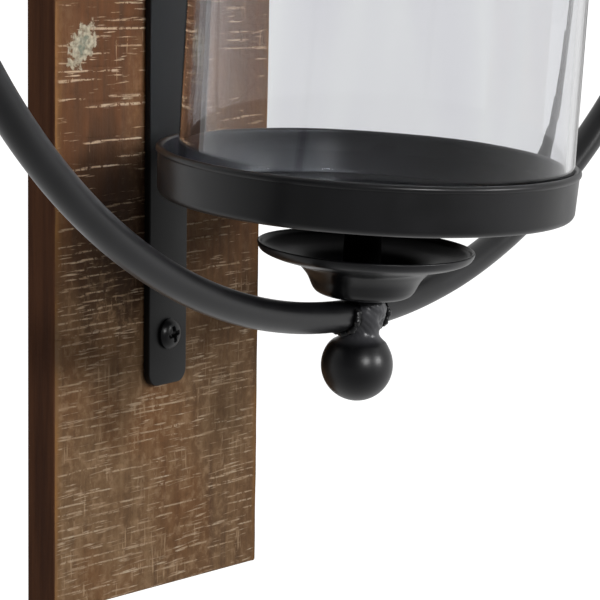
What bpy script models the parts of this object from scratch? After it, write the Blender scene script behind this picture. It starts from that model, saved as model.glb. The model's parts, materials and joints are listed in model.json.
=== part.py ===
"""Wall sconce candle holder: a reclaimed-wood back board, a flat iron strap bracket, a round-rod
hoop standing in front of the board, a drip dish and a candle tray on the hoop's lowest point, a
clear glass chimney in the tray and a ball finial below.

Units are metres and +Z is up. The board's back face lies in the XZ plane with its centre at the
world origin, and the sconce reaches out from the wall along -Y. Heights named H_... are measured
along the hoop's own axis, up from the centreline of the rod at the hoop's lowest point.
"""
import math

import bmesh
import bpy
from mathutils import Matrix, Vector

# Driving dimensions
GAP = 0.0003                    # clearance between pieces that touch
BOARD_WIDTH = 0.110
BOARD_THICKNESS = 0.0115
BOARD_LENGTH = 0.660
BOARD_END_SKEW = 0.031          # the lower end is sawn off square by this slope
ROD_RADIUS = 0.005
HOOP_RADIUS = 0.2358            # to the rod's centreline
HOOP_RISE = 0.1020              # lowest point of the hoop above the board's lower end
HOOP_STANDOFF = 0.0792          # the same point in front of the board's front face
HOOP_LEAN = math.radians(3.4)   # the loaded arm sags, so the hoop's top leans out from the wall
STRAP_WIDTH = 0.020
STRAP_THICKNESS = 0.0025
STRAP_BELOW_HOOP = 0.0316       # strap's lower end below the hoop's lowest point
STRAP_BEND_RADIUS = 0.012
ARM_OVERHANG = 0.014
BALL_RADIUS = 0.0115
DISH_RADIUS = 0.0345
H_DISH_RIM = 0.0214
TRAY_RADIUS = 0.0671
H_TRAY_BOTTOM = 0.0350
H_TRAY_RIM = 0.0506
TRAY_BEAD = 0.0012
GLASS_RADIUS = 0.0623
GLASS_WALL = 0.0028
GLASS_HEIGHT = 0.203
GLASS_SHIFT = (0.0013, -0.0019)   # the loose chimney stands a little off the tray's centre
SHEET = 0.0010                    # thickness of the pressed tray and dish
BOLT_RADIUS = 0.0023
BOLT_HOLE = 0.0027
SCREW_HEAD_RADIUS = 0.0052
SCREW_SHANK = 0.0018

# Worked out from them
BOARD_FRONT = -BOARD_THICKNESS
HOOP_FOOT = Vector((0, BOARD_FRONT - HOOP_STANDOFF, -BOARD_LENGTH / 2 + HOOP_RISE))
STRAP_MID = BOARD_FRONT - GAP - STRAP_THICKNESS / 2
STRAP_END = HOOP_FOOT.z - STRAP_BELOW_HOOP
H_BALL = -ROD_RADIUS - BALL_RADIUS - 0.0002
H_DISH_BOTTOM = ROD_RADIUS + 2 * GAP
H_HOOP_TOP = 2 * HOOP_RADIUS
H_BOSS_TOP = H_HOOP_TOP + 0.012
H_ARM = H_BOSS_TOP + GAP + STRAP_THICKNESS / 2
H_TRAY_FLOOR = H_TRAY_BOTTOM + SHEET


# Scene and helpers
def new_collection(name):
    collection = bpy.data.collections.new(name)
    bpy.context.scene.collection.children.link(collection)
    return collection


for old in list(bpy.data.objects):
    bpy.data.objects.remove(old)
PARTS = new_collection("wall_sconce")
CUTTERS = new_collection("sconce_cutters")


def material(name, colour, roughness, metallic=0.0, alpha=1.0):
    made = bpy.data.materials.new(name)
    made.use_nodes = True
    shader = made.node_tree.nodes["Principled BSDF"]
    shader.inputs["Base Color"].default_value = (*colour, 1.0)
    shader.inputs["Roughness"].default_value = roughness
    shader.inputs["Metallic"].default_value = metallic
    shader.inputs["Alpha"].default_value = alpha
    return made


WOOD = material("reclaimed_wood", (0.16, 0.075, 0.035), 0.8)
IRON = material("black_iron", (0.014, 0.014, 0.016), 0.45, 0.6)
STEEL = material("black_screw", (0.012, 0.012, 0.013), 0.35, 0.8)
ZINC = material("zinc_plate", (0.55, 0.56, 0.58), 0.35, 1.0)
GLASS = material("clear_glass", (0.85, 0.88, 0.90), 0.03, 0.0, 0.3)


def add_object(name, data, look=None, place=(0, 0, 0), parent=None, turn=(0, 0, 0)):
    """Puts data in the scene as a part, or as a hidden cutter when it has no material."""
    obj = bpy.data.objects.new(name, data)
    obj.location = place
    obj.rotation_euler = turn
    obj.parent = parent
    if look is None:
        CUTTERS.objects.link(obj)
        obj.hide_render = True
        obj.display_type = 'WIRE'
    else:
        data.materials.append(look)
        PARTS.objects.link(obj)
    return obj


def arc(centre, radius, start, end, count):
    """Points on an arc; angles in degrees, 0 pointing outward and 90 up."""
    angles = [math.radians(start + (end - start) * i / count) for i in range(count + 1)]
    return [(centre[0] + radius * math.cos(a), centre[1] + radius * math.sin(a)) for a in angles]


def turned(name, profile, look, steps=48, closed=False, **where):
    """A body of revolution about its own Z from (radius, height) points."""
    mesh = bpy.data.meshes.new(name)
    edges = [(i, i + 1) for i in range(len(profile) - 1)]
    if closed:
        edges.append((len(profile) - 1, 0))
    mesh.from_pydata([(r, 0, h) for r, h in profile], edges, [])
    obj = add_object(name, mesh, look, **where)
    screw = obj.modifiers.new("Turn", 'SCREW')
    screw.steps = steps
    screw.render_steps = steps
    screw.use_merge_vertices = True
    screw.merge_threshold = 0.00001
    return obj


def tube(name, inner, outer, low, high, look, steps=32, **where):
    profile = [(outer, high), (outer, low), (inner, low), (inner, high)]
    return turned(name, profile, look, steps, closed=True, **where)


def box_mesh(name, size, centre=(0, 0, 0)):
    shape = bmesh.new()
    scale = Matrix.Diagonal((*size, 1))
    bmesh.ops.create_cube(shape, size=1, matrix=Matrix.Translation(centre) @ scale)
    mesh = bpy.data.meshes.new(name)
    shape.to_mesh(mesh)
    shape.free()
    return mesh


def rod_mesh(name, radius, low, high, sides=24):
    """A cylinder along Z between two heights, tapered when radius is a pair (low, high)."""
    radii = radius if isinstance(radius, tuple) else (radius, radius)
    shape = bmesh.new()
    middle = Matrix.Translation((0, 0, (low + high) / 2))
    bmesh.ops.create_cone(shape, cap_ends=True, segments=sides, radius1=radii[0],
                          radius2=radii[1], depth=high - low, matrix=middle)
    mesh = bpy.data.meshes.new(name)
    shape.to_mesh(mesh)
    shape.free()
    return mesh


def boolean(obj, cutter, operation='DIFFERENCE'):
    step = obj.modifiers.new(operation.title(), 'BOOLEAN')
    step.operation = operation
    step.solver = 'EXACT'
    step.object = cutter


def bevel(obj, width, segments=1, angle=30):
    step = obj.modifiers.new("Round", 'BEVEL')
    step.width = width
    step.segments = segments
    step.limit_method = 'ANGLE'
    step.angle_limit = math.radians(angle)


def outline(name, loops, thickness):
    """A 2D curve filled between its loops, the first outer and the rest holes."""
    curve = bpy.data.curves.new(name, 'CURVE')
    curve.dimensions = '2D'
    curve.fill_mode = 'BOTH'
    curve.extrude = thickness / 2
    for loop in loops:
        spline = curve.splines.new('POLY')
        spline.points.add(len(loop) - 1)
        spline.use_cyclic_u = True
        for point, (x, y) in zip(spline.points, loop):
            point.co = (x, y, 0, 1)
    return curve


def as_mesh(name, curve):
    """The mesh of a curve, with its loose caps welded on."""
    helper = bpy.data.objects.new(name + "_curve", curve)
    CUTTERS.objects.link(helper)
    bpy.context.view_layer.update()
    graph = bpy.context.evaluated_depsgraph_get()
    mesh = bpy.data.meshes.new_from_object(helper.evaluated_get(graph))
    bpy.data.objects.remove(helper)
    shape = bmesh.new()
    shape.from_mesh(mesh)
    bmesh.ops.remove_doubles(shape, verts=shape.verts, dist=0.00001)
    shape.to_mesh(mesh)
    shape.free()
    mesh.name = name
    return mesh


def rounded_rectangle(width, low, high, radii, count=6):
    """Corner radii are given for the lower and the upper pair of corners."""
    lower, upper = radii
    half = width / 2
    return (arc((half - lower, low + lower), lower, -90, 0, count)
            + arc((half - upper, high - upper), upper, 0, 90, count)
            + arc((upper - half, high - upper), upper, 90, 180, count)
            + arc((lower - half, low + lower), lower, 180, 270, count))


# The leaning hoop and all that it carries hang in this frame
hoop_frame = bpy.data.objects.new("hoop_frame", None)
hoop_frame.location = HOOP_FOOT
hoop_frame.rotation_euler = (HOOP_LEAN, 0, 0)
PARTS.objects.link(hoop_frame)

FACING_OUT = (math.radians(90), 0, 0)     # an object's Z turned to -Y, out from the wall
FACING_WALL = (math.radians(-90), 0, 0)   # an object's Z turned to +Y, into the wall


# Screws
def pan_screw(name, head_radius, shank_radius, length, **where):
    """A Phillips pan-head screw; the underside of its head is at height 0 and its tip points down."""
    dome = head_radius * 0.52
    edge = arc((0, dome - head_radius * 1.25), head_radius * 1.25, 90, 42, 6)
    head = [(r, max(h, 0.0006)) for r, h in edge if r < head_radius]
    tip = length * 0.18
    profile = head + [(head_radius, 0.0005), (head_radius, 0), (shank_radius, 0),
                      (shank_radius, tip - length), (0, -length)]
    profile[0] = (0, dome)
    screw = turned(name, profile, STEEL, 24, **where)
    for turn in (0, 90):
        slot = box_mesh(name + "_recess", (head_radius, head_radius * 0.2, head_radius * 0.5),
                        (0, 0, dome))
        cutter = add_object(f"{name}_recess_{turn}", slot, None, where["place"],
                            where.get("parent"))
        facing = Matrix.Rotation(math.radians(turn), 3, 'Z')
        base = Matrix.Rotation(where.get("turn", (0, 0, 0))[0], 3, 'X')
        cutter.rotation_euler = (base @ facing).to_euler()
        boolean(screw, cutter)
    return screw


# Back board with its screw holes and the pockets behind the keyhole plates
STRAP_SCREWS = {"lower": STRAP_END + 0.017, "middle": -0.008, "upper": 0.227}
STRAP_SCREW_LENGTH = 0.0095
HANGERS = {"upper": 0.275, "lower": -0.275}
HANGER_SCREW_X = 0.021
HANGER_SCREW_HEAD = 0.0026
HANGER_SCREW_SHANK = 0.0013
HANGER_THICKNESS = 0.0014
HANGER_SCREW_LENGTH = 0.0065
HANGER_WIDTH = 0.054
HANGER_LOW = -0.011
HANGER_HIGH = 0.019
RECESS = 0.0036                   # the plates and their screws lie below the board's back
KEYHOLE_RADIUS = 0.0048
KEYHOLE_SLOT = 0.0024
KEYHOLE_RISE = 0.011


def build_board():
    plank = box_mesh("back_board", (BOARD_WIDTH, BOARD_THICKNESS, BOARD_LENGTH))
    for vertex in plank.vertices:
        if vertex.co.z < 0:
            vertex.co.z -= vertex.co.x * BOARD_END_SKEW
    board = add_object("back_board", plank, WOOD, (0, -BOARD_THICKNESS / 2, 0))
    bevel(board, 0.0008)
    for label, height in STRAP_SCREWS.items():
        hole = rod_mesh("pilot", SCREW_SHANK + GAP, -0.001, 0.0085, 16)
        boolean(board, add_object("pilot_" + label, hole, None, (0, BOARD_FRONT, height),
                                  turn=FACING_WALL))
    for label, height in HANGERS.items():
        seat = box_mesh("seat", (HANGER_WIDTH + 0.001, 2 * RECESS,
                                 HANGER_HIGH - HANGER_LOW + 0.001),
                        (0, 0, (HANGER_LOW + HANGER_HIGH) / 2))
        boolean(board, add_object("seat_" + label, seat, None, (0, 0, height)))
        pocket = box_mesh("pocket", (0.012, 0.018, 0.024), (0, 0, KEYHOLE_RISE / 2))
        boolean(board, add_object("pocket_" + label, pocket, None, (0, 0, height)))
        for side in (-1, 1):
            hole = rod_mesh("hanger_pilot", HANGER_SCREW_SHANK + GAP, 0.001, 0.0095, 16)
            boolean(board, add_object(f"pilot_{label}_{side}", hole, None,
                                      (side * HANGER_SCREW_X, 0, height), turn=FACING_OUT))


# Strap bracket: one strip, down the board and bent forward at the top as the arm
def strap_path():
    """(y, z) points along the strip's middle, from its lower end to the arm's tip."""
    out = Vector((-math.cos(HOOP_LEAN), -math.sin(HOOP_LEAN)))
    over_hoop = Vector((HOOP_FOOT.y - H_ARM * math.sin(HOOP_LEAN),
                        HOOP_FOOT.z + H_ARM * math.cos(HOOP_LEAN)))
    reach = (STRAP_MID - over_hoop.x) / -out.x
    corner = over_hoop - out * reach
    sweep = math.pi / 2 + HOOP_LEAN
    tangent = STRAP_BEND_RADIUS * math.tan(sweep / 2)
    centre = (STRAP_MID - STRAP_BEND_RADIUS, corner.y - tangent)
    bend = arc(centre, STRAP_BEND_RADIUS, 0, math.degrees(sweep), 8)
    tip = over_hoop + out * ARM_OVERHANG
    return [(STRAP_MID, STRAP_END), *bend, tuple(tip)]


def build_strap():
    path = strap_path()
    ribbon = bpy.data.curves.new("strap_ribbon", 'CURVE')
    ribbon.dimensions = '3D'
    ribbon.extrude = STRAP_WIDTH / 2
    spline = ribbon.splines.new('POLY')
    spline.points.add(len(path) - 1)
    for point, (y, z) in zip(spline.points, path):
        point.co = (y, z, 0, 1)
    flat = as_mesh("strap_bracket", ribbon)
    # the curve's X, Y and Z become the world's Y, Z and X
    flat.transform(Matrix(((0, 0, 1, 0), (1, 0, 0, 0), (0, 1, 0, 0), (0, 0, 0, 1))))
    strap = add_object("strap_bracket", flat, IRON)
    thick = strap.modifiers.new("Thickness", 'SOLIDIFY')
    thick.thickness = STRAP_THICKNESS
    thick.offset = 0
    thick.use_even_offset = True

    front = as_mesh("strap_outline", outline("strap_outline", [rounded_rectangle(
        STRAP_WIDTH + 0.00004, STRAP_END, BOARD_LENGTH, (0.0045, 0.0045))], 0.6))
    boolean(strap, add_object("strap_ends", front, None, turn=FACING_OUT), 'INTERSECT')
    for label, height in STRAP_SCREWS.items():
        hole = rod_mesh("strap_hole", SCREW_SHANK + 2 * GAP, -0.005, 0.005, 24)
        boolean(strap, add_object("strap_hole_" + label, hole, None,
                                  (0, STRAP_MID, height), turn=FACING_OUT))
    hole = rod_mesh("arm_hole", BOLT_HOLE, H_ARM - 0.005, H_ARM + 0.005, 24)
    boolean(strap, add_object("arm_hole", hole, None, parent=hoop_frame))
    top = as_mesh("arm_outline", outline("arm_outline", [rounded_rectangle(
        STRAP_WIDTH + 0.00004, -ARM_OVERHANG, 0.3, (0.008, 0.001))], 2.4))
    boolean(strap, add_object("arm_end", top, None, parent=hoop_frame), 'INTERSECT')
    bevel(strap, 0.0003, angle=60)

    for label, height in STRAP_SCREWS.items():
        pan_screw("strap_screw_" + label, SCREW_HEAD_RADIUS, SCREW_SHANK, STRAP_SCREW_LENGTH,
                  place=(0, STRAP_MID - STRAP_THICKNESS / 2 - GAP, height), turn=FACING_OUT)


# Keyhole plates let into the back
def keyhole():
    half_angle = math.degrees(math.asin(KEYHOLE_SLOT / KEYHOLE_RADIUS))
    big = arc((0, 0), KEYHOLE_RADIUS, 90 + half_angle, 450 - half_angle, 20)
    return big + arc((0, KEYHOLE_RISE), KEYHOLE_SLOT, 0, 180, 8)


def build_hangers():
    for label, height in HANGERS.items():
        holes = [arc((side * HANGER_SCREW_X, 0), HANGER_SCREW_SHANK + 0.0008, 0, 345, 23)
                 for side in (-1, 1)]
        edge = rounded_rectangle(HANGER_WIDTH, HANGER_LOW, HANGER_HIGH, (0.004, 0.004))
        plate = outline("hanger_plate_" + label, [edge, keyhole(), *holes], HANGER_THICKNESS)
        add_object("hanger_plate_" + label, plate, ZINC,
                   (0, GAP - RECESS + HANGER_THICKNESS / 2, height), turn=FACING_OUT)
        for side, name in ((-1, "left"), (1, "right")):
            pan_screw(f"hanger_screw_{label}_{name}", HANGER_SCREW_HEAD, HANGER_SCREW_SHANK,
                      HANGER_SCREW_LENGTH,
                      place=(side * HANGER_SCREW_X, HANGER_THICKNESS + 2 * GAP - RECESS, height),
                      turn=FACING_WALL)


# Hoop, finial and the boss at the hoop's top
def build_hoop():
    curve = bpy.data.curves.new("hoop", 'CURVE')
    curve.dimensions = '3D'
    curve.bevel_depth = ROD_RADIUS
    curve.bevel_resolution = 4
    curve.use_fill_caps = True
    end_gap = math.degrees((BOLT_HOLE + 0.0005) / HOOP_RADIUS)
    points = arc((0, HOOP_RADIUS), HOOP_RADIUS, -90 + end_gap, 270 - end_gap, 128)
    spline = curve.splines.new('POLY')
    spline.points.add(len(points) - 1)
    for point, (x, z) in zip(spline.points, points):
        point.co = (x, 0, z, 1)
    add_object("hoop", curve, IRON, parent=hoop_frame)


def cross_bore(name, height):
    """A cutter that lets the rod run through a piece along X."""
    mesh = rod_mesh(name, ROD_RADIUS + GAP + 0.0002, -0.02, 0.02, 32)
    return add_object(name, mesh, None, (0, 0, height), hoop_frame, (0, math.radians(90), 0))


def build_finial():
    neck = [(0.0055, ROD_RADIUS - 0.0004), (0.0066, 0.0030), (0.0074, 0.0), (0.0078, -0.0030),
            (0.0074, -0.0056), (0.0068, -0.0078)]
    lowest_join = math.degrees(math.asin((-0.0078 - H_BALL) / BALL_RADIUS))
    ball = arc((0, H_BALL), BALL_RADIUS, lowest_join - 8, -90, 14)
    profile = [(0, ROD_RADIUS - 0.0004), *neck, *ball]
    profile[-1] = (0, H_BALL - BALL_RADIUS)
    finial = turned("finial_ball", profile, IRON, 40, parent=hoop_frame)
    boolean(finial, cross_bore("finial_bore", 0))
    tapped = rod_mesh("finial_thread", BOLT_HOLE, -0.0125, 0.01, 24)
    boolean(finial, add_object("finial_thread", tapped, None, parent=hoop_frame))
    for side, name in ((-1, "left"), (1, "right")):
        build_weld("weld_bead_" + name, side * 0.0088)


def build_weld(name, x):
    """A bead around the rod where it enters the finial; it stops short of the dish above."""
    curve = bpy.data.curves.new(name, 'CURVE')
    curve.dimensions = '3D'
    curve.bevel_depth = 0.0007
    curve.bevel_resolution = 2
    curve.use_fill_caps = True
    points = arc((0, 0), ROD_RADIUS + 0.0010, -215, 35, 20)
    spline = curve.splines.new('POLY')
    spline.points.add(len(points) - 1)
    for point, (y, z) in zip(spline.points, points):
        point.co = (x, y, z, 1)
    add_object(name, curve, IRON, parent=hoop_frame)


def build_top_boss():
    profile = [(0, H_BOSS_TOP), (0.0075, H_BOSS_TOP), (0.0085, H_BOSS_TOP - 0.001),
               (0.0085, H_HOOP_TOP - 0.007), (0.0070, H_HOOP_TOP - 0.0085),
               (0, H_HOOP_TOP - 0.0085)]
    boss = turned("hoop_boss", profile, IRON, 32, parent=hoop_frame)
    boolean(boss, cross_bore("boss_bore", H_HOOP_TOP))
    tapped = rod_mesh("boss_thread", BOLT_HOLE, H_HOOP_TOP, H_BOSS_TOP + 0.002, 24)
    boolean(boss, add_object("boss_thread", tapped, None, parent=hoop_frame))
    washer_low = H_ARM + STRAP_THICKNESS / 2 + GAP
    tube("arm_washer", BOLT_HOLE, 0.0062, washer_low, washer_low + 0.001, STEEL,
         parent=hoop_frame)
    head = washer_low + 0.001 + GAP
    shank_tip = H_HOOP_TOP + ROD_RADIUS + GAP
    dome = arc((0, head + 0.0010), 0.0048, 90, 0, 6)
    profile = dome + [(0.0048, head), (BOLT_RADIUS, head), (BOLT_RADIUS, shank_tip),
                      (0, shank_tip)]
    profile[0] = (0, head + 0.0058)
    turned("arm_bolt", profile, STEEL, 24, parent=hoop_frame)


# Drip dish, stem, tray and the screw that clamps them to the finial
def shell(outer, thickness):
    """A closed section from an outer line that ends at the centre hole's edge underneath."""
    inner = []
    for i, (r, h) in enumerate(outer):
        before = Vector(outer[max(i - 1, 0)])
        after = Vector(outer[min(i + 1, len(outer) - 1)])
        along = (after - before).normalized()
        inner.append((r + along.y * thickness, h - along.x * thickness))
    inner[-1] = (outer[-1][0], outer[-1][1] + thickness)
    return outer + inner[::-1]


def build_dish():
    outer = [(DISH_RADIUS, H_DISH_RIM), (DISH_RADIUS - 0.0005, H_DISH_RIM - 0.0012),
             (DISH_RADIUS - 0.0016, H_DISH_RIM - 0.0024), (0.0297, 0.0177), (0.0250, 0.0166),
             (0.0216, 0.0154), (0.0196, 0.0136), (0.0180, 0.0116), (0.0169, 0.0094),
             (0.0161, 0.0079), (0.0149, 0.0067), (0.0128, 0.0059), (0.0098, H_DISH_BOTTOM),
             (BOLT_HOLE, H_DISH_BOTTOM)]
    turned("drip_dish", shell(outer, SHEET), IRON, 56, closed=True, parent=hoop_frame)
    tube("tray_stem", BOLT_HOLE, 0.0060, H_DISH_BOTTOM + SHEET + GAP, H_TRAY_BOTTOM - GAP,
         IRON, parent=hoop_frame)


def build_tray():
    wall_foot = TRAY_RADIUS - 0.0011
    corner = 0.0025
    bead = arc((TRAY_RADIUS - TRAY_BEAD, H_TRAY_RIM - TRAY_BEAD), TRAY_BEAD, 160, -60, 9)
    turn_in = arc((wall_foot - corner, H_TRAY_BOTTOM + corner), corner, -6, -90, 6)
    turn_up = arc((wall_foot - corner, H_TRAY_BOTTOM + corner), corner - SHEET, -90, -6, 6)
    profile = (bead + turn_in + [(BOLT_HOLE, H_TRAY_BOTTOM), (BOLT_HOLE, H_TRAY_FLOOR)]
               + turn_up + [(wall_foot - SHEET + 0.0002, H_TRAY_RIM - 2.6 * TRAY_BEAD)])
    turned("candle_tray", profile, IRON, 80, closed=True, parent=hoop_frame)
    low = H_TRAY_FLOOR + GAP
    tube("tray_washer", BOLT_HOLE, 0.0080, low, low + 0.0012, STEEL, parent=hoop_frame)
    head = low + 0.0012 + GAP
    pan_screw("tray_screw", 0.0050, BOLT_RADIUS, head + 0.0118, place=(0, 0, head),
              parent=hoop_frame)


# Glass chimney, free to lift off along the hoop's own axis
def build_glass():
    low = H_TRAY_FLOOR + GAP
    half = GLASS_WALL / 2
    lip = arc((GLASS_RADIUS - half, GLASS_HEIGHT - half), half, 180, 0, 6)
    foot = arc((GLASS_RADIUS - half, half), half, 0, -180, 6)
    turned("glass_chimney", lip + foot, GLASS, 72, closed=True, place=(*GLASS_SHIFT, low),
           parent=hoop_frame)


build_board()
build_strap()
build_hangers()
build_hoop()
build_finial()
build_top_boss()
build_dish()
build_tray()
build_glass()
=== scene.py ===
"""Looks of the wall sconce candle holder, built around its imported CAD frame.

Metres, +Z up; the board's back face is in the XZ plane and the sconce reaches out along -Y.
Heights in the profiles are measured along the hoop's own leaning axis, up from its lowest point.
"""
import json
import math

import bmesh
import bpy
import numpy as np
from mathutils import Matrix, Vector


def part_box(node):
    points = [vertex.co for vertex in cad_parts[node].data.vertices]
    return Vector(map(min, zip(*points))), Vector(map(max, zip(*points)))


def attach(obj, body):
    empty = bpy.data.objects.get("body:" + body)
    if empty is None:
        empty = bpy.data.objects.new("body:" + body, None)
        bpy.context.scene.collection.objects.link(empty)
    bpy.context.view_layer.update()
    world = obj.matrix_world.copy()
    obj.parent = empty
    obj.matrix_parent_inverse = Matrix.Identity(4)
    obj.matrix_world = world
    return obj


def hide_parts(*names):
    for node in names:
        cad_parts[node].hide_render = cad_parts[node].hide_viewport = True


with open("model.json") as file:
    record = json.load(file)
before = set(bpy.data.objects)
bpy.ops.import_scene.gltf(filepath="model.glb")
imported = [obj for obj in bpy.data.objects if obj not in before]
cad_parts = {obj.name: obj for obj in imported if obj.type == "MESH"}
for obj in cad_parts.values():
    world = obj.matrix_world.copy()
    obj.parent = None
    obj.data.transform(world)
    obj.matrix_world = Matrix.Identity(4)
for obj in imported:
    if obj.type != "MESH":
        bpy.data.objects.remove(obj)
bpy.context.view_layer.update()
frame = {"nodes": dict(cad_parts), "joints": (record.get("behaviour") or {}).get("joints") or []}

# ---------------------------------------------------------------- the frame's own measures
ROD = 0.005                            # radius of the hoop's rod
GAP = 0.0003                           # clearance between parts
SHEET = 0.0010                         # dish and tray sheet thickness
LEAN = math.asin(-frame["joints"][0]["axis"][1])
HOOP_LOW, HOOP_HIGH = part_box("hoop")
FOOT = Vector((0, HOOP_HIGH.y - ROD, HOOP_LOW.z + ROD))
HOOP_FRAME = Matrix.Translation(FOOT) @ Matrix.Rotation(LEAN, 4, 'X')
HOOP_RADIUS = (HOOP_HIGH.x - HOOP_LOW.x) / 2 - ROD
HOOP_TOP = 2 * HOOP_RADIUS
BOARD_LOW, BOARD_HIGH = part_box("back_board")
BOARD_HALF = BOARD_HIGH.x
BOARD_FRONT = BOARD_LOW.y
TRAY_FLOOR = 0.0360                    # heights along the hoop's axis
TRAY_RIM = 0.0506
BOSS_TOP = HOOP_TOP + 0.012
STRAP_WIDTH, STRAP_THICK = 0.020, 0.0025
STRAP_MID = BOARD_FRONT - GAP - STRAP_THICK / 2
STRAP_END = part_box("strap_bracket")[0].z
WASHER_THICK = 0.0010                  # under the arm's bolt
TRAY_WASHER_THICK = 0.0012


# ---------------------------------------------------------------- node helpers
def linear(code):
    """A hex sRGB colour as linear RGBA."""
    values = [int(code[i:i + 2], 16) / 255 for i in (0, 2, 4)]
    return [v / 12.92 if v <= 0.04045 else ((v + 0.055) / 1.055) ** 2.4 for v in values] + [1.0]


class Nodes:
    """Short ways to add the nodes that the materials below are made of."""

    def __init__(self, name):
        self.material = bpy.data.materials.new(name)
        self.material.use_nodes = True
        self.tree = self.material.node_tree
        self.shader = self.tree.nodes["Principled BSDF"]
        self.output = self.tree.nodes["Material Output"]
        self.place = self.tree.nodes.new("ShaderNodeTexCoord").outputs["Object"]

    def put(self, socket, value):
        if isinstance(value, bpy.types.NodeSocket):
            self.tree.links.new(value, socket)
        else:
            socket.default_value = value

    def set(self, **inputs):
        for name, value in inputs.items():
            self.put(self.shader.inputs[name.replace("_", " ")], value)

    def coordinates(self, scale=(1, 1, 1), turn=(0, 0, 0)):
        node = self.tree.nodes.new("ShaderNodeMapping")
        node.inputs["Scale"].default_value = scale
        node.inputs["Rotation"].default_value = turn
        self.put(node.inputs["Vector"], self.place)
        return node.outputs["Vector"]

    def noise(self, scale, detail=3.0, turn=(0, 0, 0), roughness=0.5, distortion=0.0, seed=0.0):
        """Noise with features about 1/scale metres long; scale is one number or one per axis."""
        scale = scale if isinstance(scale, tuple) else (scale,) * 3
        node = self.tree.nodes.new("ShaderNodeTexNoise")
        node.noise_dimensions = '4D'
        node.inputs["W"].default_value = seed
        node.inputs["Scale"].default_value = 1.0
        node.inputs["Detail"].default_value = detail
        node.inputs["Roughness"].default_value = roughness
        node.inputs["Distortion"].default_value = distortion
        self.put(node.inputs["Vector"], self.coordinates(scale, turn))
        return node.outputs["Fac"]

    def attribute(self, name):
        node = self.tree.nodes.new("ShaderNodeAttribute")
        node.attribute_name = name
        return node.outputs["Fac"]

    def axis(self, name):
        node = self.tree.nodes.new("ShaderNodeSeparateXYZ")
        self.put(node.inputs["Vector"], self.place)
        return node.outputs[name]

    def math(self, operation, a, b=0.0, clamp=False):
        node = self.tree.nodes.new("ShaderNodeMath")
        node.operation = operation
        node.use_clamp = clamp
        self.put(node.inputs[0], a)
        self.put(node.inputs[1], b)
        return node.outputs[0]

    def step(self, value, low, high, out_low=0.0, out_high=1.0):
        """A smooth ramp from out_low at low to out_high at high."""
        node = self.tree.nodes.new("ShaderNodeMapRange")
        node.interpolation_type = 'SMOOTHSTEP'
        self.put(node.inputs["Value"], value)
        ends = {"From Min": low, "From Max": high, "To Min": out_low, "To Max": out_high}
        for name, end in ends.items():
            node.inputs[name].default_value = end
        return node.outputs["Result"]

    def ramp(self, value, *stops):
        """Colours (position, hex) blended along value."""
        node = self.tree.nodes.new("ShaderNodeValToRGB")
        elements = node.color_ramp.elements
        while len(elements) < len(stops):
            elements.new(1.0)
        for element, (position, code) in zip(elements, stops):
            element.position = position
            element.color = linear(code)
        self.put(node.inputs["Fac"], value)
        return node.outputs["Color"]

    def mix(self, factor, a, b):
        node = self.tree.nodes.new("ShaderNodeMix")
        node.data_type = 'RGBA'
        self.put(node.inputs[0], factor)
        for socket, value in ((node.inputs[6], a), (node.inputs[7], b)):
            self.put(socket, linear(value) if isinstance(value, str) else value)
        return node.outputs[2]

    def bump(self, *layers):
        """Bump from (height, strength, distance) layers, coarse ones first."""
        normal = None
        for height, strength, distance in layers:
            node = self.tree.nodes.new("ShaderNodeBump")
            node.inputs["Strength"].default_value = strength
            node.inputs["Distance"].default_value = distance
            self.put(node.inputs["Height"], height)
            if normal is not None:
                self.put(node.inputs["Normal"], normal)
            normal = node.outputs["Normal"]
        self.put(self.shader.inputs["Normal"], normal)


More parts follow.
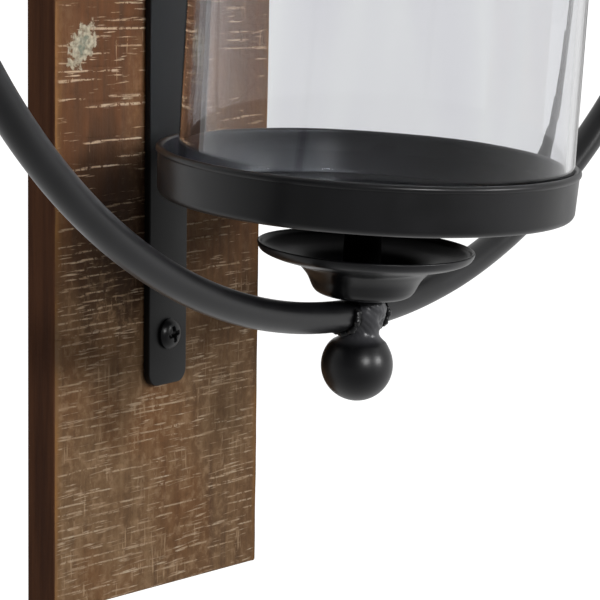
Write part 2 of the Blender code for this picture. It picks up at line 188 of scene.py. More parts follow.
# ---------------------------------------------------------------- materials
def wood_material():
    """Brown-stained reclaimed board: pale saw marks, scratches along the grain, worn edges."""
    n = Nodes("reclaimed_wood_look")
    height = n.axis("Z")
    grain = n.noise((260, 260, 14), 5, roughness=0.6)
    figure = n.noise((55, 55, 9), 3, distortion=0.6, seed=3.0)
    blotch = n.noise((22, 22, 16), 3, seed=7.0)
    warm = n.ramp(grain, (0.25, "402715"), (0.45, "51331c"), (0.62, "5b3920"), (0.8, "654325"))
    grey = n.ramp(grain, (0.25, "553f2c"), (0.45, "6e543a"), (0.62, "7b6146"), (0.8, "8a7053"))
    greyer = n.step(height, -0.15, -0.27)
    lower = n.math('ADD', greyer, n.step(blotch, 0.35, 0.7, -0.35, 0.35), True)
    stain_and_shadow = n.mix(lower, warm, grey)
    stain_and_shadow = n.mix(n.step(figure, 0.52, 0.78, 0, 0.5), stain_and_shadow, "462a15")
    stain_and_shadow = n.mix(n.step(blotch, 0.5, 0.72, 0, 0.5), stain_and_shadow, "6f431f")

    # painted shadow: the dark patch behind the hoop's foot is partly darker stained wood, partly
    # painted shadow of the tray, dish and hoop
    dark = n.math('ADD', n.attribute("stain_and_shadow"), n.step(figure, 0.3, 0.7, -0.25, 0.25))
    stain_and_shadow = n.mix(n.step(dark, 0.25, 0.85, 0, 0.75), stain_and_shadow, "2c1b0e")

    # scratches along the grain, then the pale marks that the saw left across it
    along = n.noise((900, 900, 85), 3, roughness=0.65, seed=11.0)
    patchy = n.noise((70, 70, 55), 2, seed=13.0)
    dense = n.step(height, -0.17, -0.26, 0.0, 0.05)
    along = n.math('ADD', n.math('ADD', along, dense), n.step(patchy, 0.3, 0.75, -0.08, 0.06))
    across = n.noise((80, 80, 1150), 3, (0, math.radians(2.5), 0), seed=17.0)
    across = n.math('ADD', n.math('ADD', across, dense), n.step(patchy, 0.3, 0.75, -0.05, 0.06))
    breaks = n.noise((480, 480, 420), 3, roughness=0.7, seed=19.0)
    thin = n.noise((110, 110, 1500), 2, seed=41.0)
    groove = n.math('MULTIPLY', n.attribute("groove"), n.step(breaks, 0.30, 0.50))
    groove = n.math('MULTIPLY', groove, n.step(thin, 0.34, 0.50))
    marks = n.math('MAXIMUM', n.step(across, 0.62, 0.70), n.step(groove, 0.2, 0.75))
    marks = n.math('MULTIPLY', marks, n.step(breaks, 0.30, 0.50, 0.2, 1.0))
    front = n.attribute("front")
    marks = n.math('MULTIPLY', marks, front)
    along = n.math('ADD', along, n.step(height, -0.21, -0.26, 0.0, 0.02))
    scratches = n.math('MULTIPLY', n.step(along, 0.655, 0.74, 0, 0.75), front)
    pale = n.ramp(n.noise(160, 2, seed=23.0), (0.3, "94795d"), (0.55, "b39b80"), (0.75, "cbb9a0"))
    stain_and_shadow = n.mix(scratches, stain_and_shadow, "a58a6c")
    stain_and_shadow = n.mix(n.math('MULTIPLY', marks, 0.85), stain_and_shadow, pale)
    mottle = n.noise((330, 330, 300), 4, roughness=0.6, seed=43.0)
    rubbed = n.math('MULTIPLY', n.step(mottle, 0.47, 0.68, 0, 0.5), lower)
    stain_and_shadow = n.mix(n.math('MULTIPLY', rubbed, front), stain_and_shadow, "9a7d5f")
    stain_and_shadow = n.mix(n.step(mottle, 0.48, 0.3, 0, 0.3), stain_and_shadow, "3f2715")

    # the front edges are worn to a golden brown, the knot is filled with grey paste
    uneven = n.step(n.noise((200, 200, 60), 3, seed=29.0), 0.3, 0.62, 0.25, 1.0)
    worn = n.math('MULTIPLY', n.attribute("wear"), uneven)
    stain_and_shadow = n.mix(worn, stain_and_shadow, "8c6233")
    ragged = n.step(n.noise(420, 4, seed=31.0), 0.2, 0.8, -0.42, 0.42)
    knot = n.math('ADD', n.attribute("knot"), ragged)
    paste = n.ramp(n.noise(700, 3, seed=37.0), (0.3, "6d6251"), (0.5, "958a75"), (0.7, "b0a58e"))
    paste = n.mix(n.step(knot, 0.85, 1.30, 0, 0.85), paste, "626659")
    stain_and_shadow = n.mix(n.step(knot, 0.42, 0.62), stain_and_shadow, paste)
    edge = n.mix(n.step(grain, 0.3, 0.7), "46291a", "66422d")
    stain_and_shadow = n.mix(n.attribute("side"), stain_and_shadow, edge)
    back = n.mix(n.step(grain, 0.3, 0.7), "6b4c31", "8d6c4a")
    stain_and_shadow = n.mix(n.attribute("back"), stain_and_shadow, back)
    n.set(Base_Color=stain_and_shadow, Roughness=n.step(grain, 0.2, 0.8, 0.66, 0.9), Specular_IOR_Level=0.17)
    n.bump((grain, 0.5, 0.0006), (marks, 0.5, 0.0003), (along, 0.35, 0.0004), (knot, 0.3, 0.0006))
    return n.material


def iron_material(name, dark, light, rough, grit=0.00004, shine=0.5,
                  highlight_above=None):
    """Satin black paint on iron: orange peel, rubbed patches and a little dust; above a given
    height, an optional painted highlight in lighter grey.
    """
    n = Nodes(name)
    peel = n.noise(1500, 3, seed=1.0)
    patch = n.noise(45, 4, seed=2.0)
    dust = n.noise(2600, 2, seed=5.0)
    body = n.mix(n.step(patch, 0.35, 0.7), dark, light)
    body = n.mix(n.step(dust, 0.7, 0.8, 0, 0.3), body, "4a4846")
    # painted highlight: above the given height the paint turns lighter grey, standing in for a
    # lamp's highlight
    if highlight_above is not None:
        body = n.mix(n.step(n.axis("Z"), highlight_above - 0.001, highlight_above + 0.002), body, "434346")
    n.set(Base_Color=body, Roughness=n.step(patch, 0.3, 0.7, rough - 0.05, rough + 0.07),
          Specular_IOR_Level=shine)
    n.bump((patch, 0.15, 0.0006), (peel, 0.25, grit))
    return n.material


def zinc_material():
    n = Nodes("zinc_look")
    brushed = n.noise((2600, 2600, 90), 3, seed=2.0)
    spangle = n.noise(160, 2, seed=4.0)
    n.set(Base_Color=n.ramp(spangle, (0.3, "8f9296"), (0.7, "b7babd")),
          Roughness=n.step(brushed, 0.2, 0.8, 0.26, 0.44), Metallic=1.0)
    n.bump((brushed, 0.2, 0.00005))
    return n.material


def glass_material():
    """Clear drawn glass with a faint grey-blue body; lamps shine through it."""
    n = Nodes("clear_glass_look")
    streak = n.noise((160, 160, 7), 2, distortion=0.3, seed=6.0)
    haze = n.noise((38, 38, 16), 2, seed=8.0)
    body = n.noise((26, 26, 5), 2, (math.radians(8), math.radians(14), 0), seed=9.0)
    tint = n.ramp(body, (0.35, "f1f1f5"), (0.5, "f8f9fa"), (0.65, "f3f3f6"))
    n.set(Base_Color=tint, Roughness=n.step(haze, 0.5, 0.85, 0.0, 0.045),
          IOR=1.48, Transmission_Weight=1.0)
    n.bump((streak, 0.04, 0.0004))
    clear = n.tree.nodes.new("ShaderNodeBsdfTransparent")
    clear.inputs["Color"].default_value = (0.86, 0.88, 0.90, 1.0)
    light = n.tree.nodes.new("ShaderNodeLightPath")
    choose = n.tree.nodes.new("ShaderNodeMixShader")
    n.put(choose.inputs[0], light.outputs["Is Shadow Ray"])
    n.put(choose.inputs[1], n.shader.outputs[0])
    n.put(choose.inputs[2], clear.outputs[0])
    n.put(n.output.inputs["Surface"], choose.outputs[0])
    return n.material


WOOD = wood_material()
IRON = iron_material("black_iron_look", "0a0a0c", "131316", 0.33)
BAR = iron_material("bar_iron_look", "080808", "0e0e0e", 0.42, shine=0.26)
# painted shade: a near-black, matte copy of the iron for the tray's stem, down in the shade inside
# the dish
SHADED_STEM_IRON = iron_material("painted_shade_iron_look", "020202", "040404", 0.9, shine=0.08)
# iron with a painted highlight: lighter grey on the finial's neck above this height
NECK_HIGHLIGHT_IRON = iron_material("neck_highlight_iron_look", "0a0a0c", "131316", 0.31, highlight_above=FOOT.z - 0.0090)
BLACKENED = iron_material("black_screw_look", "070708", "0f0f10", 0.33, 0.00002, shine=0.35)
ZINC = zinc_material()
GLASS = glass_material()
LOOKS = {"reclaimed_wood": WOOD, "black_iron": IRON, "black_screw": BLACKENED,
         "zinc_plate": ZINC, "clear_glass": GLASS}


# ---------------------------------------------------------------- mesh helpers
def piece(name, mesh, slot, *nodes, body="sconce", look=None):
    """Shows mesh in place of CAD nodes, in the finish of one of the record's slots."""
    mesh.materials.append(look or LOOKS[slot])
    obj = bpy.data.objects.new(name, mesh)
    bpy.context.scene.collection.objects.link(obj)
    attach(obj, body)
    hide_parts(*nodes)
    return obj


def mesh_of(name, points, faces, place=HOOP_FRAME, smooth_angle=None):
    """A closed mesh moved to its place, shaded smooth up to an angle between faces."""
    mesh = bpy.data.meshes.new(name)
    mesh.from_pydata([tuple(p) for p in points], [], faces)
    shape = bmesh.new()
    shape.from_mesh(mesh)
    bmesh.ops.remove_doubles(shape, verts=shape.verts, dist=1e-6)
    bmesh.ops.recalc_face_normals(shape, faces=shape.faces)
    shape.to_mesh(mesh)
    shape.free()
    mesh.transform(place)
    mesh.shade_smooth()
    if smooth_angle:
        mesh.set_sharp_from_angle(angle=math.radians(smooth_angle))
    return mesh


def arc(centre, radius, start, end, count):
    """Points on an arc; angles in degrees, 0 pointing outward and 90 up."""
    angles = [math.radians(start + (end - start) * i / count) for i in range(count + 1)]
    return [(centre[0] + radius * math.cos(a), centre[1] + radius * math.sin(a)) for a in angles]


def flow(points, count=4):
    """A smooth line through points, with count stretches between each two."""
    line = []
    for i in range(len(points) - 1):
        a, b = points[max(i - 1, 0)], points[i]
        c, d = points[i + 1], points[min(i + 2, len(points) - 1)]
        for k in range(count):
            t = k / count
            line.append(tuple(0.5 * (2 * b[j] + (c[j] - a[j]) * t
                                     + (2 * a[j] - 5 * b[j] + 4 * c[j] - d[j]) * t * t
                                     + (3 * b[j] - a[j] - 3 * c[j] + d[j]) * t ** 3)
                              for j in range(2)))
    return line + [points[-1]]


def shell(outer, thickness):
    """A closed section: outer, and the line one thickness inside it."""
    inner = []
    for i, (r, h) in enumerate(outer):
        before, after = outer[max(i - 1, 0)], outer[min(i + 1, len(outer) - 1)]
        along = (Vector(after) - Vector(before)).normalized()
        inner.append((r + along.y * thickness, h - along.x * thickness))
    inner[-1] = (outer[-1][0], outer[-1][1] + thickness)
    return outer + inner[::-1]


def turned(name, profile, steps=128, closed=False, place=HOOP_FRAME, wobble=None, drift=None,
           smooth_angle=None):
    """A body of revolution about its own Z; an open profile starts and ends on the axis."""
    points, faces = [], []
    for k in range(steps):
        turn = 2 * math.pi * k / steps
        for i, (r, h) in enumerate(profile):
            grown = r + (wobble(turn, h, i) if wobble and r > 0 else 0)
            off_x, off_y = drift(h) if drift else (0, 0)
            points.append((off_x + grown * math.cos(turn), off_y + grown * math.sin(turn), h))
    count = len(profile)
    for k in range(steps):
        here, there = k * count, (k + 1) % steps * count
        for i in range(count if closed else count - 1):
            j = (i + 1) % count
            corners = [here + i, there + i, there + j, here + j]
            if profile[i][0] == 0:
                corners.pop(1)
            elif profile[j][0] == 0:
                corners.pop(2)
            faces.append(corners)
    return mesh_of(name, points, faces, place, smooth_angle)


def swept(name, path, radius, sides, place=HOOP_FRAME):
    """A round rod along path, a list of (point, outward direction, radius factor)."""
    points, faces = [], []
    for i, (centre, outward, swell) in enumerate(path):
        ahead = path[min(i + 1, len(path) - 1)][0] - path[max(i - 1, 0)][0]
        side = ahead.normalized().cross(outward).normalized()
        for k in range(sides):
            turn = 2 * math.pi * k / sides
            around = outward * math.cos(turn) + side * math.sin(turn)
            points.append(centre + around * (radius * swell))
    for i in range(len(path) - 1):
        for k in range(sides):
            j = (k + 1) % sides
            faces.append([i * sides + k, i * sides + j, (i + 1) * sides + j, (i + 1) * sides + k])
    faces.append(list(range(sides)))
    faces.append(list(range((len(path) - 1) * sides, len(path) * sides)))
    return mesh_of(name, points, faces, place, 50)


def lattice(seed, rows, columns):
    return np.random.RandomState(seed).rand(rows, columns)


def field(x, z, long_x, long_z, seed, octaves=2):
    """Smooth 0-1 noise over the board with features long_x by long_z metres."""
    total, weight = np.zeros(np.broadcast(x, z).shape), 0.0
    for octave in range(octaves):
        grid = lattice(seed + octave, 257, 257)
        u, v = x * 2 ** octave / long_x + 40.0, z * 2 ** octave / long_z + 40.0
        iu, iv = np.floor(u).astype(int), np.floor(v).astype(int)
        fu, fv = u - iu, v - iv
        fu, fv = fu * fu * (3 - 2 * fu), fv * fv * (3 - 2 * fv)
        corner = [grid[(iv + b) % 257, (iu + a) % 257] for b in (0, 1) for a in (0, 1)]
        value = ((corner[0] * (1 - fu) + corner[1] * fu) * (1 - fv)
                 + (corner[2] * (1 - fu) + corner[3] * fu) * fv)
        total += value * 0.5 ** octave
        weight += 0.5 ** octave
    return total / weight


def ease(value, low, high):
    t = np.clip((value - low) / (high - low), 0, 1)
    return t * t * (3 - 2 * t)


# ---------------------------------------------------------------- the board
KNOT = (-0.0412, -0.1452)              # filled knot on the front face
KNOT_SIZE = (0.0062, 0.0070)
STAIN_AND_SHADOW = (-0.026, -0.206)               # a darker patch behind the hoop's foot: partly darker stained wood, partly painted shadow of the tray, dish and hoop
STAIN_AND_SHADOW_SIZE = (0.026, 0.040)
SAW_PITCH = 0.0027                     # between two possible saw marks
ROWS = 1190                            # rows of points down the board, for the saw marks
SEAT_HALF, SEAT_DEPTH = 0.0275, 0.0036    # the hanger plates' seats in the back
POCKET_HALF, POCKET_DEPTH = 0.0060, 0.0090   # deeper pockets behind the keyholes
HANGER_HEIGHTS = [sum(c.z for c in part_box("hanger_plate_" + label)) / 2 - 0.004
                  for label in ("upper", "lower")]
END_SKEW = 0.031                       # the lower end is sawn off square by this slope
ROUND = 0.0008                         # rounding of the board's ends


def saw_grooves(x, z):
    """How much of a saw mark lies at each point, 0 to 1."""
    drift = 0.0016 * (field(x, z, 0.05, 0.03, 11) - 0.5)
    slope = 0.10 * (field(x * 0, z, 1.0, 0.045, 17) - 0.5)
    line = (z + drift + slope * x) / SAW_PITCH
    tooth = 0.5 + 0.5 * np.cos(2 * np.pi * line)
    gate = field(x, z, 0.017, 0.0018, 23, 1)
    zone = field(x, z, 0.045, 0.032, 31)
    lower = ease(-z, 0.16, 0.27) * 0.04
    return ease(tooth, 0.74, 1.0) * ease(gate + 0.45 * (zone - 0.5) + lower, 0.53, 0.68)


def front_depth(x, z):
    """Depth below the board's highest front face."""
    cupped = 0.00025 * field(x, z, 0.060, 0.090, 5)
    ribs = 0.00012 * field(x, z, 0.030, 0.0022, 41)
    grain = 0.00010 * field(x, z, 0.0030, 0.060, 47)
    return 0.00003 + cupped + ribs + grain + 0.00022 * saw_grooves(x, z)


def board_section(z, inset):
    """Columns of (x, y) round the board's section, one value per row, and each column's kind."""
    worn = 0.0005 + 0.0005 * field(z * 0 + 0.3, z, 1.0, 0.012, 53)
    columns, kinds = [], []
    outer = BOARD_HALF - 0.00005 - inset
    for side in (-1, 1):
        part = [(side * (outer - ROUND * 0.6), 0 * z), (side * outer, 0 * z - ROUND * 0.6)]
        for share in np.linspace(0.12, 0.86, 6):
            y = BOARD_FRONT * share
            rough = 0.00016 * field(z * 0 + y * 3, z, 0.004, 0.018, 59 + side)
            part.append((side * (outer - rough), 0 * z + y))
        kind = ["back"] + ["side"] * (len(part) - 1)
        front = BOARD_FRONT + inset
        for angle in np.linspace(0, math.pi / 2, 5):
            x = side * (outer - 0.00008 - worn + worn * math.cos(angle))
            y = front + worn - worn * math.sin(angle)
            part.append((x, y + (front_depth(x, z) if angle > 1.5 else 0)))
            kind.append("edge" if angle > 0.9 else "side")
        if side == 1:
            part, kind = part[::-1], kind[::-1]
        columns.append(part)
        kinds.append(kind)
    inner = []
    for share in np.linspace(-1, 1, 62)[1:-1]:
        x = share * (outer - 0.00008 - worn)
        inner.append((x, BOARD_FRONT + inset + front_depth(x, z)))
    return columns[0] + inner + columns[1], kinds[0] + ["front"] * len(inner) + kinds[1]


def board_mesh():
    ends = [ROUND * s for s in (0.0, 0.08, 0.3, 0.62, 1.0)]
    length = BOARD_HIGH.z - BOARD_LOW.z
    inner = np.linspace(ends[-1], length - ends[-1], ROWS)[1:-1]
    reach = np.array(ends + list(inner) + [length - e for e in ends[::-1]])
    from_end = np.minimum(reach, length - reach)
    inset = ROUND - np.sqrt(np.maximum(ROUND ** 2 - np.maximum(ROUND - from_end, 0) ** 2, 0))
    z_plain = BOARD_HIGH.z - reach
    columns, kinds = board_section(z_plain, inset)
    rows, count = len(reach), len(columns)
    x = np.stack([np.broadcast_to(c[0], rows) for c in columns], 1)
    y = np.stack([np.broadcast_to(c[1], rows) for c in columns], 1)
    # the lower half is stretched towards an end that is sawn askew
    skew = np.where(z_plain < 0, z_plain / z_plain.min(), 0)[:, None]
    middle_end = BOARD_LOW.z + BOARD_HALF * END_SKEW
    drop = skew * (middle_end - BOARD_LOW.z - x * END_SKEW)
    z = z_plain[:, None] + np.minimum(drop, 2 * BOARD_HALF * END_SKEW)
    shape = bmesh.new()
    verts = [[shape.verts.new((x[i, j], y[i, j], z[i, j])) for j in range(count)]
             for i in range(rows)]
    for i in range(rows - 1):
        above, below = verts[i], verts[i + 1]
        for j in range(count - 1):
            shape.faces.new((above[j], above[j + 1], below[j + 1], below[j]))
    shape.faces.new(verts[0])
    shape.faces.new(verts[-1][::-1])
    rim = ([shape.edges.get((verts[i][j], verts[i + 1][j])) for i in range(rows - 1)
            for j in (0, count - 1)]
           + [shape.edges.get((row[0], row[-1])) for row in (verts[0], verts[-1])])

    def rectangle(centre, half, low, high, depth):
        """A loop of four corners in the back, its edges and its corners."""
        corners = [shape.verts.new((sx * half, depth, centre + h))
                   for sx, h in ((-1, low), (1, low), (1, high), (-1, high))]
        return corners, [shape.edges.new((corners[k], corners[(k + 1) % 4])) for k in range(4)]

    for centre in HANGER_HEIGHTS:
        mouth, mouth_edges = rectangle(centre, SEAT_HALF, -0.0115, 0.0195, 0)
        floor, floor_edges = rectangle(centre, SEAT_HALF, -0.0115, 0.0195, -SEAT_DEPTH)
        pit, pit_edges = rectangle(centre, POCKET_HALF, -0.0065, 0.0175, -SEAT_DEPTH)
        deep, _ = rectangle(centre, POCKET_HALF, -0.0065, 0.0175, -POCKET_DEPTH)
        rim += mouth_edges
        for top, bottom in ((mouth, floor), (pit, deep)):
            for k in range(4):
                shape.faces.new((top[k], top[(k + 1) % 4], bottom[(k + 1) % 4], bottom[k]))
        shape.faces.new(deep)
        bmesh.ops.triangle_fill(shape, use_beauty=True, use_dissolve=False,
                                edges=floor_edges + pit_edges)
    bmesh.ops.triangle_fill(shape, use_beauty=True, use_dissolve=False, edges=rim)
    bmesh.ops.recalc_face_normals(shape, faces=shape.faces)
    mesh = bpy.data.meshes.new("board_timber")
    shape.to_mesh(mesh)
    shape.free()
    mesh.shade_smooth()
    mesh.set_sharp_from_angle(angle=math.radians(40))
    paint_board(mesh, kinds, rows)
    return mesh


def paint_board(mesh, kinds, rows):
    """Stores where the front, sides, back, worn edges, the darker patch (stained wood with painted
    shadow), grooves and knot are.
    """
    total = len(mesh.vertices)
    place = np.zeros(total * 3, np.float32)
    mesh.vertices.foreach_get("co", place)
    place = place.reshape(-1, 3).astype(float)
    kind = np.array((kinds * rows) + ["back"] * (total - len(kinds) * rows))
    x, z = place[:, 0], place[:, 2]
    on_front = kind == "front"
    near_edge = ease(np.abs(x), BOARD_HALF - 0.0032, BOARD_HALF - 0.0014)
    rubbed = field(x, z, 0.05, 0.020, 61)
    wear = near_edge * ease(rubbed, 0.15, 0.5) * (on_front | (kind == "edge")) * (1 - 0.5 * (x > 0))
    away = np.hypot((x - KNOT[0] - 0.45 * (z - KNOT[1])) / KNOT_SIZE[0],
                    (z - KNOT[1]) / KNOT_SIZE[1])
    layers = {
        "front": on_front.astype(float),
        "side": (kind == "side").astype(float),
        "back": (kind == "back").astype(float),
        "wear": wear,
        # the dark patch: partly darker stained wood, partly painted shadow of the tray, dish and
        # hoop
        "stain_and_shadow": np.clip(1.4 - np.hypot((x - STAIN_AND_SHADOW[0]) / STAIN_AND_SHADOW_SIZE[0],
                                        (z - STAIN_AND_SHADOW[1]) / STAIN_AND_SHADOW_SIZE[1]), 0, 1) * on_front,
        "groove": saw_grooves(x, z) * on_front,
        "knot": np.clip(1.45 - away, 0, 1.45) * on_front,
    }
    for name, values in layers.items():
        layer = mesh.attributes.new(name, 'FLOAT', 'POINT')
        layer.data.foreach_set("value", values.astype(np.float32))


piece("board_timber", board_mesh(), "reclaimed_wood", "back_board")


# ---------------------------------------------------------------- strap bracket
def strap_mesh():
    """The strip follows the board, bends forward at the top and ends round over the hoop."""
    bend, overhang = 0.012, 0.014
    h_arm = BOSS_TOP + GAP + STRAP_THICK / 2
    out = Vector((-math.cos(LEAN), -math.sin(LEAN)))
    over = Vector((FOOT.y - h_arm * math.sin(LEAN), FOOT.z + h_arm * math.cos(LEAN)))
    corner = over - out * ((STRAP_MID - over.x) / -out.x)
    sweep = math.pi / 2 + LEAN
    centre = (STRAP_MID - bend, corner.y - bend * math.tan(sweep / 2))
    tip = over + out * overhang
    curve = arc(centre, bend, 0, math.degrees(sweep), 28)

    def straight(a, b, low_cuts, high_cuts):
        a, b = Vector(a), Vector(b)
        length = (b - a).length
        stops = sorted({*low_cuts, *(length - c for c in high_cuts),
                        *np.linspace(low_cuts[-1], length - high_cuts[-1], 40)})
        return [a + (b - a) * (s / length) for s in stops]

    lower = [0.0045 * s for s in (0, 0.01, 0.04, 0.1, 0.2, 0.35, 0.55, 0.8, 1)]
    upper = [0.0080 * s for s in (0, 0.01, 0.04, 0.1, 0.2, 0.35, 0.55, 0.8, 1)]
    path = (straight((STRAP_MID, STRAP_END), curve[0], lower, [0])
            + [Vector(p) for p in curve[1:-1]] + straight(curve[-1], tip, [0], upper))
    runs = [0.0]
    for a, b in zip(path, path[1:]):
        runs.append(runs[-1] + (b - a).length)
    round_off = 0.00045
    points, faces = [], []
    for i, (at, run) in enumerate(zip(path, runs)):
        ahead = (path[min(i + 1, len(path) - 1)] - path[max(i - 1, 0)]).normalized()
        normal = Vector((ahead.y, -ahead.x))
        half = STRAP_WIDTH / 2
        for reach, radius in ((run, 0.0045), (runs[-1] - run, 0.0080)):
            if reach < radius:
                half -= radius - math.sqrt(radius ** 2 - (radius - reach) ** 2)
        half = max(half, 0.0012)
        thick = STRAP_THICK / 2
        for turn in range(4):
            sx, sn = ((1, 1), (-1, 1), (-1, -1), (1, -1))[turn]
            for angle in np.linspace(0, 90, 5):
                a = math.radians(angle + 90 * turn)
                x = sx * (half - round_off) + round_off * math.cos(a)
                n = sn * (thick - round_off) + round_off * math.sin(a)
                point = at + normal * n
                points.append((x, point.x, point.y))
    ring = 20
    for i in range(len(path) - 1):
        for k in range(ring):
            j = (k + 1) % ring
            faces.append([i * ring + k, i * ring + j, (i + 1) * ring + j, (i + 1) * ring + k])
    faces += [list(range(ring)), list(range((len(path) - 1) * ring, len(path) * ring))]
    return mesh_of("strap_iron", points, faces, Matrix.Identity(4), 35)


piece("strap_iron", strap_mesh(), "black_iron", "strap_bracket", look=BAR)


# ---------------------------------------------------------------- screws
def screw_mesh(name, head, shank, length, place):
    """A pan-head screw: domed head with a tapered cross recess, threaded shank."""
    steps = 96
    dome, core, pitch = head * 0.52, shank * 0.80, 0.0011
    heads = []
    for i in range(22):
        share = i / 21
        heads.append((head * share ** 0.9, dome * (1 - 0.72 * share ** 3.2)))
    under = [(head, 0.0002), (head - 0.0002, 0)]
    thread = []
    for k in range(int(length * 0.78 / pitch)):
        z = -0.0006 - k * pitch
        thread += [(core, z), (shank, z - 0.00045), (shank, z - 0.0006), (core, z - 0.00105)]
    tip = [(core, -length * 0.84), (0, -length)]
    profile = heads + under + thread + tip
    profile[0] = (0, dome)
    points, faces = [], []
    arm, slot, deep = head * 0.56, head * 0.105, head * 0.42
    for k in range(steps):
        turn = 2 * math.pi * k / steps
        for i, (r, h) in enumerate(profile):
            x, y = r * math.cos(turn), r * math.sin(turn)
            if i < len(heads):
                cut = 0.0
                for a, b in ((x, y), (y, x)):
                    ends = min(max((arm - abs(a)) / (arm * 0.25), 0), 1)
                    sides = min(max((slot * 1.5 - abs(b)) / (slot * 0.7), 0), 1)
                    cut = max(cut, ends * sides)
                h -= deep * cut * (1 - 0.45 * r / arm if r < arm else 0)
            points.append((x, y, h))
    count = len(profile)
    for k in range(steps):
        here, there = k * count, (k + 1) % steps * count
        for i in range(count - 1):
            corners = [here + i, there + i, there + i + 1, here + i + 1]
            if profile[i][0] == 0:
                corners.pop(1)
            elif profile[i + 1][0] == 0:
                corners.pop(2)
            faces.append(corners)
    return mesh_of(name, points, faces, place, 38)


def facing(x, y, z, outward):
    """A place at (x, y, z) whose own Z points out from the wall (1) or towards it (-1)."""
    return Matrix.Translation((x, y, z)) @ Matrix.Rotation(math.radians(90 * outward), 4, 'X')


def spun(seat, angle):
    """A screw's seat, turned to where its recess came to stand."""
    return seat @ Matrix.Rotation(angle, 4, 'Z')


STRAP_SCREW = (0.00518, 0.0018, 0.0095)        # head radius, shank radius, length
HANGER_SCREW = (0.00258, 0.0013, 0.0065)
TRAY_SCREW = (0.00495, 0.0023, 0.0500)
HANGER_SEAT = 0.0014 + 2 * GAP - SEAT_DEPTH    # the plates' outer face

for label, roll in (("lower", 12), ("middle", 35), ("upper", 64)):
    low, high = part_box("strap_screw_" + label)
    seat = facing(0, STRAP_MID - STRAP_THICK / 2 - GAP, (low.z + high.z) / 2, 1)
    mesh = screw_mesh("screw_strap_" + label, *STRAP_SCREW, spun(seat, math.radians(roll)))
    piece("screw_strap_" + label, mesh, "black_screw", "strap_screw_" + label)
for label in ("upper", "lower"):
    for side in ("left", "right"):
        name = f"{label}_{side}"
        low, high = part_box("hanger_screw_" + name)
        seat = facing((low.x + high.x) / 2, HANGER_SEAT, (low.z + high.z) / 2, -1)
        roll = math.radians(17 * len(name))
        mesh = screw_mesh("screw_hanger_" + name, *HANGER_SCREW, spun(seat, roll))
        piece("screw_hanger_" + name, mesh, "black_screw", "hanger_screw_" + name)
seat = HOOP_FRAME @ Matrix.Translation((0, 0, TRAY_FLOOR + 2 * GAP + TRAY_WASHER_THICK))
piece("screw_tray", screw_mesh("screw_tray", *TRAY_SCREW, spun(seat, 0.6)), "black_screw",
      "tray_screw")


# ---------------------------------------------------------------- hoop, finial and boss
def hoop_mesh():
    """The round rod, a touch uneven; its two ends stop inside the finial's neck."""
    gap = 0.0032 / HOOP_RADIUS
    path = []
    for i in range(385):
        a = -math.pi / 2 + gap + (2 * math.pi - 2 * gap) * i / 384
        outward = Vector((math.cos(a), 0, math.sin(a)))
        centre = Vector((0, 0, HOOP_RADIUS)) + outward * HOOP_RADIUS
        swell = 0.996 + 0.004 * math.sin(9 * a) * math.sin(23 * a + 1)
        path.append((centre, outward, swell))
    return swept("hoop_rod", path, ROD, 28)


def finial_mesh():
    """A neck welded round the rod runs down, a little askew, into a forged ball."""
    ball, ball_height = 0.0115, -0.0167
    neck = flow([(0.0046, 0.0049), (0.0059, 0.0040), (0.0063, 0.0015), (0.0060, -0.0015),
                 (0.0053, -0.0038), (0.0051, -0.0052), (0.0057, -0.0066), (0.0069, -0.0078),
                 (0.0081, -0.0087)], 5)
    join = math.degrees(math.asin((-0.0090 - ball_height) / ball))
    sphere = arc((0, ball_height), ball, join, -90, 34)
    profile = [(0, 0.0049)] + neck + sphere
    profile[-1] = (0, ball_height - ball)

    def lumps(turn, h, i):
        rough = ease(h, -0.0085, -0.0015)
        a, b = 0.006 * math.cos(turn), 0.006 * math.sin(turn)
        wave = field(a + h * 0.6, b - h, 0.0034, 0.0034, 71, 3) - 0.5
        cleft = ease(field(b - h * 0.8, a + h, 0.0022, 0.0050, 83, 1), 0.62, 0.85)
        return float(rough * (0.0016 * wave - 0.0007 * cleft))

    def askew(h):
        share = float(ease(h, -0.0110, -0.0030))
        return 0.0004 + 0.0004 * share, -0.0006 - 0.0016 * share

    return turned("finial_iron", profile, 128, wobble=lumps, drift=askew)


WELD_SIDE = 0.0087                     # from the finial's middle to each weld


def weld_mesh(name, x, seed):
    """A lumpy bead round the rod where it enters the finial, open at the top."""
    path = []
    for i in range(73):
        a = math.radians(-215 + 250 * i / 72)
        outward = Vector((0, math.cos(a), math.sin(a)))
        ripple = 0.70 + 0.14 * math.sin(i * 0.61 + seed) + 0.08 * math.sin(i * 1.7 + seed * 3)
        taper = min(1.0, 0.25 + i / 10, 0.25 + (72 - i) / 10)
        centre = Vector((x + 0.00018 * math.sin(i * 0.5 + seed), 0, 0)) + outward * (ROD + 0.0006)
        path.append((centre, outward, ripple * taper))
    return swept(name, path, 0.0014, 14)


piece("hoop_rod", hoop_mesh(), "black_iron", "hoop")
# the finial wears the iron with the painted highlight on its neck
piece("finial_iron", finial_mesh(), "black_iron", "finial_ball", look=NECK_HIGHLIGHT_IRON)
for side, x, seed in (("left", -WELD_SIDE, 0.0), ("right", WELD_SIDE, 2.0)):
    mesh = weld_mesh("weld_lumps_" + side, x, seed)
    piece("weld_lumps_" + side, mesh, "black_iron", "weld_bead_" + side)

